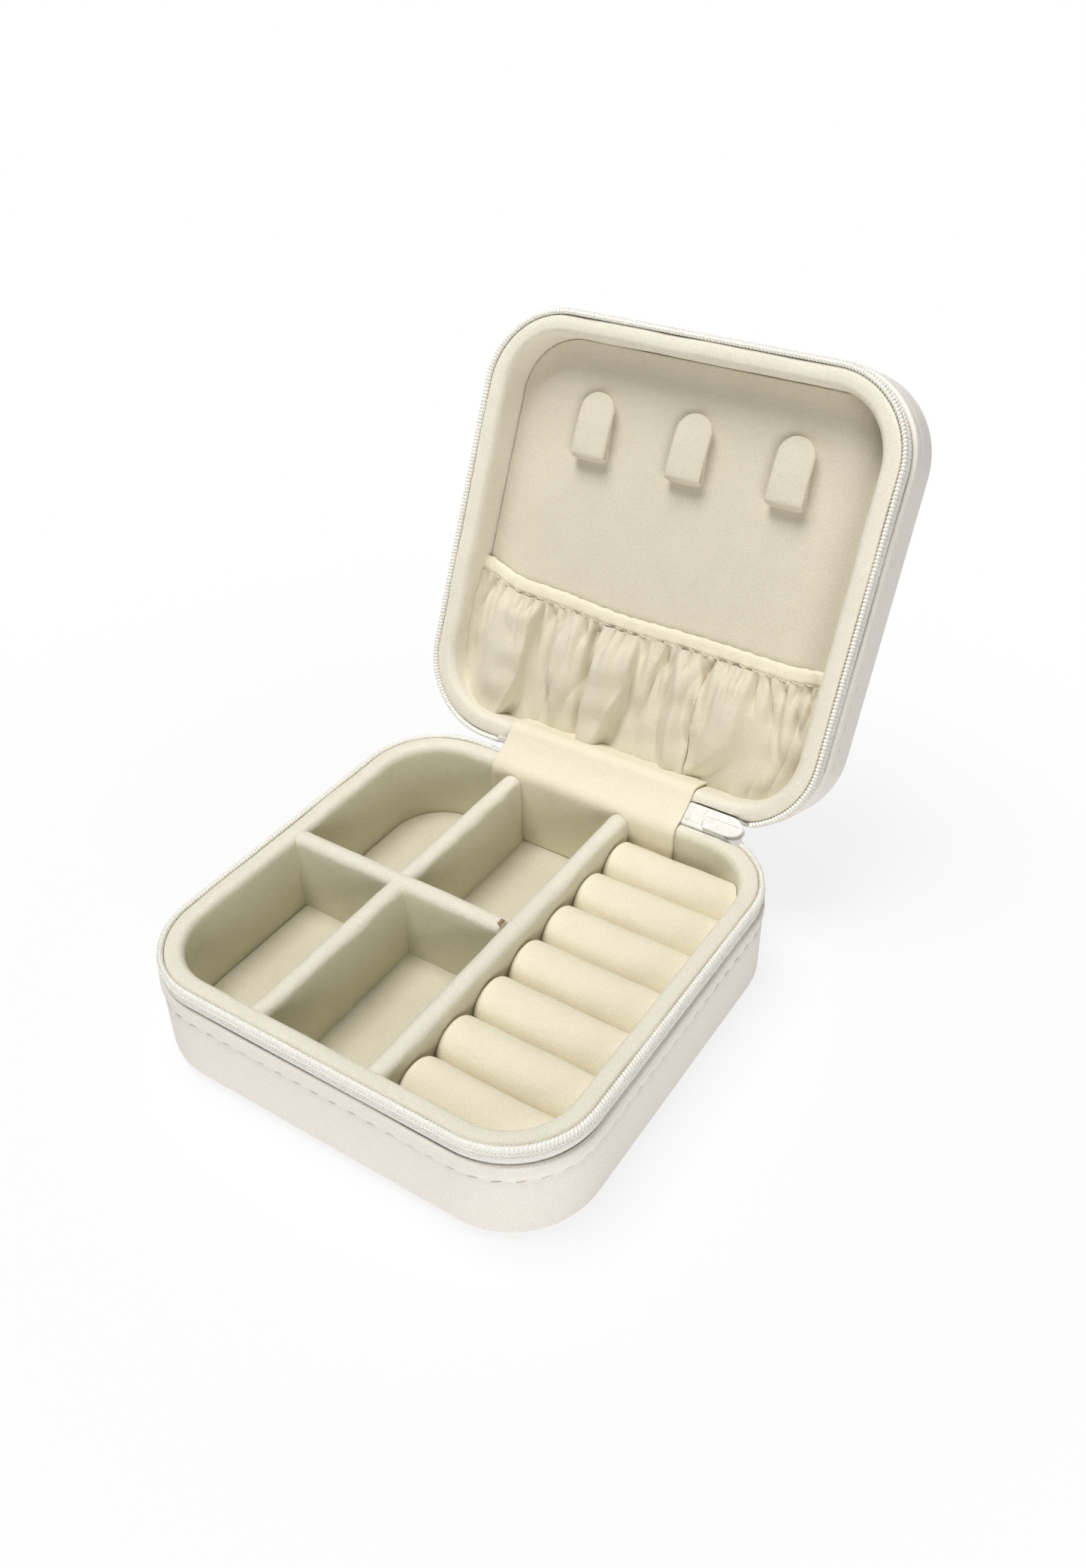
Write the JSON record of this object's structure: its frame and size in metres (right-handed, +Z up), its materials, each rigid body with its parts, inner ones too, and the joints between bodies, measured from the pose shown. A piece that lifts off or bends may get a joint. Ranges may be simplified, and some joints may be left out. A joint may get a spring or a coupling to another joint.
{
  "type": "jewelry box",
  "caption": "Small square zip-up jewelry box, open: velvet cells, rolls that hold rings, and a lid with necklace hooks and a gathered pocket.",
  "frame": {"origin": "middle of the base's underside, on the table", "axes": "+X to the right along the front, +Y to the back where the lid hinges, +Z up"},
  "size_m": [0.1, 0.1566, 0.1146],
  "materials": {
    "leather": "off-white artificial leather with a fine pebble grain",
    "velvet": "cream short-pile velvet",
    "zip_tape": "off-white woven tape",
    "zip_coil": "white nylon coil",
    "bright_metal": "plated zinc alloy",
    "greyboard": "raw greyboard",
    "foam": "soft foam sheet",
    "elastic": "braided elastic"
  },
  "bodies": {
    "base": {"base_cover": "leather", "base_board": "greyboard", "base_lining": "velvet", "floor_pad": "velvet", "main_divider": "velvet", "cross_divider": "velvet", "column_divider": "velvet", "ring_bed": "velvet", "ring_roll_1": "velvet", "ring_roll_2": "velvet", "ring_roll_3": "velvet", "ring_roll_4": "velvet", "ring_roll_5": "velvet", "ring_roll_6": "velvet", "ring_roll_7": "velvet", "base_zip_tape": "zip_tape", "base_zip_coil": "zip_coil", "base_top_stop": "bright_metal", "hinge_spine": "leather", "hinge_strap": "velvet"},
    "lid": {"lid_cover": "leather", "lid_foam": "foam", "lid_board": "greyboard", "lid_lining": "velvet", "lid_panel": "velvet", "necklace_hook_1": "velvet", "necklace_hook_2": "velvet", "necklace_hook_3": "velvet", "pocket_cloth": "velvet", "pocket_hem": "velvet", "pocket_elastic": "elastic", "lid_zip_tape": "zip_tape", "lid_zip_coil": "zip_coil", "lid_top_stop": "bright_metal"},
    "zip_end": {"zip_chain": "zip_coil", "zip_bottom_stop": "bright_metal"},
    "zip_slider": {"zip_slider": "bright_metal"},
    "zip_pull": {"zip_pull": "bright_metal"}
  },
  "joints": [
    {"name": "lid_hinge", "type": "hinge", "parent": "base", "child": "lid", "pos_m": [0, 0.0495, 0.025], "axis": [1, 0, 0], "range_deg": [0, 114], "deforming": ["hinge_spine", "hinge_strap"]},
    {"name": "zip_end_tilt", "type": "hinge", "parent": "base", "child": "zip_end", "pos_m": [0, 0.0495, 0.025], "axis": [1, 0, 0], "range_deg": [0, 57]},
    {"name": "zip_slider_run", "type": "slide", "parent": "zip_end", "child": "zip_slider", "axis": [1, 0, 0], "range_m": [-0.004, 0]},
    {"name": "zip_pull_swing", "type": "hinge", "parent": "zip_slider", "child": "zip_pull", "pos_m": [0.0334, 0.0498, 0.02454], "axis": [0, 0.8387, 0.5446], "range_deg": [-60, 60]}
  ],
  "couplings": [
    {"joint": "zip_end_tilt", "follows": "lid_hinge", "ratio": 0.5}
  ]
}
